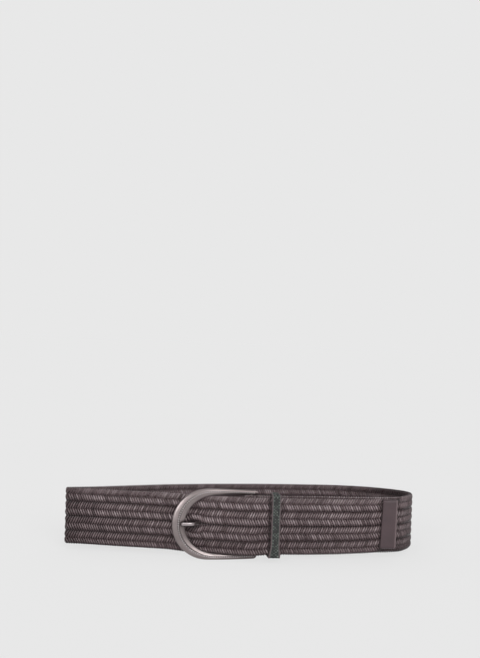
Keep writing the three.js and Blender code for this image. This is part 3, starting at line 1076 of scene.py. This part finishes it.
def cap_ring(shape, along, share=1.0):
    """One ring of the cap at a distance from the tail's end, with a share of the full lean."""
    end, _ = belt_line.at(LENGTH - CAP_SHIFT)
    tangent = belt_line.tangents[-1] * (1, 1, 0)
    tangent /= np.linalg.norm(tangent)
    side = np.array([tangent[1], -tangent[0], 0])
    across, up = shape[:, :1], shape[:, 1:]
    along = along - share * CAP_LEAN * (0.5 - up / CAP_HEIGHT) + END_SHIFT * (1 - share)
    middle = np.array([end[0], end[1], CAP_Z])
    return middle + tangent * along + side * across + np.array([0, 0, 1]) * up


def make_cap(leather):
    """Pocket inside, lip of the mouth, walls and closed end, as one tube."""
    pocket, _ = loop_outline(*POCKET_SIZE, POCKET_CORNER, CAP_POINTS)
    outline, out = loop_outline(CAP_THICK, CAP_HEIGHT, CAP_CORNER, CAP_POINTS)
    rings = [cap_ring(pocket, along) for along in POCKET]
    for along, grow in CAP_STATIONS:
        share = np.interp(along, (-CAP_LENGTH, 1), (1, END_LEAN))
        rings.append(cap_ring(outline + out * grow, along, share))
    places = POCKET + tuple(along for along, _ in CAP_STATIONS)
    # Painted highlight on the closed end's edge
    tone = [END_PAINTED_HIGHLIGHT * (0 < along < 1) for along in places]
    obj = new_mesh("tip_cap_leather", to_row(np.concatenate(rings)), tube_faces(len(rings), CAP_POINTS))
    add_tone(obj, np.repeat(tone, CAP_POINTS))
    outward(obj)
    finish_piece(obj, leather, "cap_leather", "tip_cap")


# Studio
# Rings of the floor in metres
FLOOR_RADII = (1.5, 6.0, 40.0)
FLOOR_SIDES = 64


def floor_material():
    mat, nodes, links, shader = material("pale_floor")
    colour = ramp(nodes, links, noise(nodes, links, 3, 2, object_coordinates(nodes)), [
        (0.3, grey(FLOOR_GREYS[0])), (0.7, grey(FLOOR_GREYS[1])),
    ])
    links.new(colour, shader.inputs["Base Color"])
    shader.inputs["Emission Color"].default_value = grey(1)
    shader.inputs["Emission Strength"].default_value = FLOOR_GLOW
    shader.inputs["Roughness"].default_value = 1.0
    shader.inputs["Specular IOR Level"].default_value = 0.0
    return mat


def make_floor():
    """Wide level floor. The world's colour continues it past its edge."""
    turns = [2 * math.pi * k / FLOOR_SIDES for k in range(FLOOR_SIDES)]
    verts = [(0, 0, 0)] + [(r * math.cos(a), r * math.sin(a), 0) for r in FLOOR_RADII for a in turns]
    faces = [(0, 1 + k, 1 + (k + 1) % FLOOR_SIDES) for k in range(FLOOR_SIDES)]
    faces += [face[::-1] for face in ring_faces(len(FLOOR_RADII), FLOOR_SIDES, base=1)]
    floor = new_mesh("studio_floor", verts, faces, smooth=False)
    floor.data.materials.append(floor_material())


def make_world():
    """Pale room: even near the horizon, dimmer above it and lightest overhead."""
    world = bpy.data.worlds.new("studio")
    bpy.context.scene.world = world
    world.use_nodes = True
    nodes, links = world.node_tree.nodes, world.node_tree.links
    background = nodes["Background"]
    coords = nodes.new("ShaderNodeTexCoord")
    parts = nodes.new("ShaderNodeSeparateXYZ")
    links.new(coords.outputs["Generated"], parts.inputs["Vector"])
    colour = ramp(nodes, links, parts.outputs["Z"], [
        (0.0, grey(ROOM_LOW)), (0.46, grey(ROOM_LOW)), (0.56, grey(ROOM_MIDDLE)),
        (0.68, grey(ROOM_MIDDLE)), (0.86, grey(ROOM_ABOVE)),
    ])
    links.new(colour, background.inputs["Color"])


def soft_sun(name, direction, angle, strength):
    """Sun with a wide disc, so that its shadows are soft."""
    data = bpy.data.lights.new(name, "SUN")
    data.angle = math.radians(angle)
    data.energy = strength
    lamp = bpy.data.objects.new(name, data)
    bpy.context.scene.collection.objects.link(lamp)
    lamp.rotation_mode = "QUATERNION"
    lamp.rotation_quaternion = Vector(direction).to_track_quat("-Z", "Y")


def make_lights():
    soft_sun("key", direction=(-0.45, 0.85, -0.5), angle=30, strength=1.2)
    soft_sun("fill", direction=(0.5, 0.78, -0.38), angle=22, strength=0.85)


def make_camera():
    """Camera at the photograph's angle, with the picture shifted so that its axis meets AXIS_ROW."""
    down, roll = math.radians(AXIS_DOWN), math.radians(ROLL)
    right = np.array([1.0, 0, 0])
    ahead = np.array([0, math.cos(down), -math.sin(down)])
    up = np.array([0, math.sin(down), math.cos(down)])
    u, v = AIM_PX[0] - PHOTO_WIDTH / 2, AXIS_ROW - AIM_PX[1]
    u, v = u * math.cos(roll) - v * math.sin(roll), u * math.sin(roll) + v * math.cos(roll)
    sight = ahead + right * u / FOCAL_PX + up * v / FOCAL_PX
    place = np.array([0, 0, AIM_HEIGHT]) - sight * CAMERA_DISTANCE
    rolled_right = right * math.cos(roll) + up * math.sin(roll)
    rolled_up = up * math.cos(roll) - right * math.sin(roll)
    data = bpy.data.cameras.new("camera")
    data.sensor_width = SENSOR
    data.lens = FOCAL_PX * SENSOR / PHOTO_HEIGHT
    data.shift_y = (AXIS_ROW - PHOTO_HEIGHT / 2) / PHOTO_HEIGHT
    data.clip_start, data.clip_end = 0.01, 20
    camera = bpy.data.objects.new("camera", data)
    bpy.context.scene.collection.objects.link(camera)
    matrix = Matrix((LEVEL_ROT @ np.stack([rolled_right, rolled_up, -ahead], -1)).tolist()).to_4x4()
    matrix.translation = Vector(to_row(place))
    camera.matrix_world = matrix
    bpy.context.scene.camera = camera


make_camera()
make_floor()
make_world()
make_lights()
make_braid(cord_material())
make_core(core_material())
make_buckle(
    metal_material("satin_gunmetal", (0.232, 0.198, 0.197, 1), (0.288, 0.249, 0.246, 1)),
    # The beads' metal is far paler than the frame's: painted highlight on the milled line
    metal_material("milled_metal_painted_highlight", (0.85, 0.79, 0.79, 1), (0.95, 0.9, 0.9, 1)),
)
# The prong's metal is paler than the frame's
make_prong(metal_material("paler_prong_metal", (0.31, 0.275, 0.28, 1), (0.37, 0.33, 0.335, 1)))
make_keeper(weave_material())
make_cap(leather_material())
bpy.context.scene.view_settings.view_transform = "Standard"
